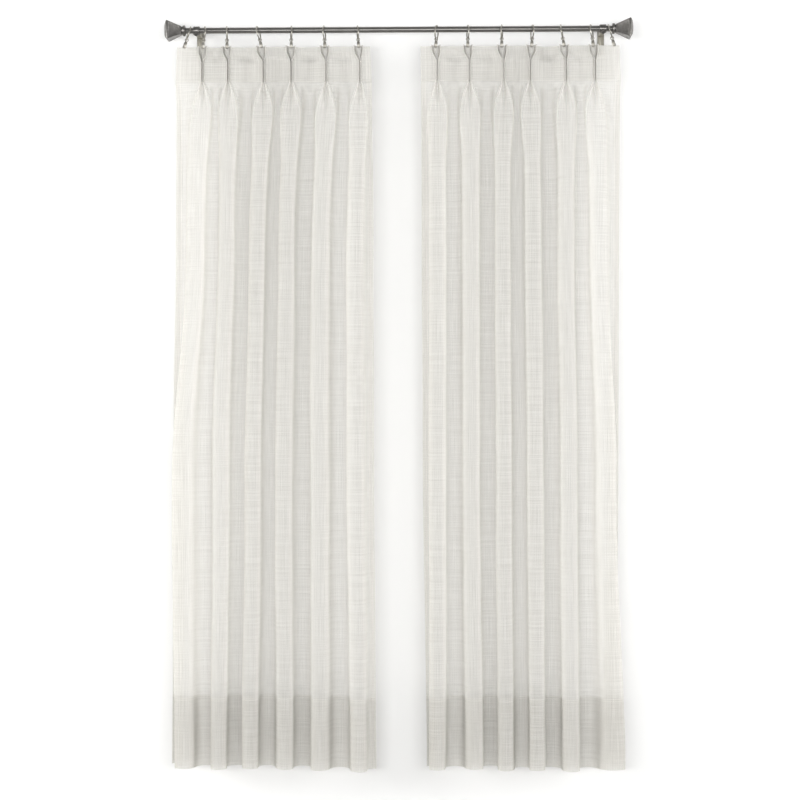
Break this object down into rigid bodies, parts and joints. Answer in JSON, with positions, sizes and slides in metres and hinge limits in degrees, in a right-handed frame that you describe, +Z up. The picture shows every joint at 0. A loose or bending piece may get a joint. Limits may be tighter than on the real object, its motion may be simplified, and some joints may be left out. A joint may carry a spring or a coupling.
{
  "type": "sheer voile curtains on a rod",
  "caption": "Pinch pleated sheer curtains that hang by ring clips from a straight metal rod with flared square ends and wall brackets.",
  "frame": {"origin": "on the wall plane, midway between the brackets, at the height of the rod's axis", "axes": "+Z up, +Y into the wall, +X along the rod to the right as seen from the room"},
  "size_m": [1.3854, 0.1413, 2.214],
  "materials": {
    "voile": "sheer plain weave, matt, ivory",
    "rod_metal": "satin, dark pewter",
    "ring_metal": "polished, aged nickel",
    "bracket_metal": "satin, taupe grey"
  },
  "bodies": {
    "root": {"panel_left": "voile", "panel_right": "voile", "rod": "rod_metal", "finial_collar_left": "rod_metal", "finial_left": "rod_metal", "bracket_left": "bracket_metal", "set_screw_left": "rod_metal", "finial_collar_right": "rod_metal", "finial_right": "rod_metal", "bracket_right": "bracket_metal", "set_screw_right": "rod_metal", "ring_01": "ring_metal", "clip_01": "ring_metal", "ring_02": "ring_metal", "clip_02": "ring_metal", "ring_03": "ring_metal", "clip_03": "ring_metal", "ring_04": "ring_metal", "clip_04": "ring_metal", "ring_05": "ring_metal", "clip_05": "ring_metal", "ring_06": "ring_metal", "clip_06": "ring_metal", "ring_07": "ring_metal", "clip_07": "ring_metal", "ring_08": "ring_metal", "clip_08": "ring_metal", "ring_09": "ring_metal", "clip_09": "ring_metal", "ring_10": "ring_metal", "clip_10": "ring_metal", "ring_11": "ring_metal", "clip_11": "ring_metal", "ring_12": "ring_metal", "clip_12": "ring_metal", "ring_13": "ring_metal", "clip_13": "ring_metal", "ring_14": "ring_metal", "clip_14": "ring_metal"}
  },
  "joints": []
}
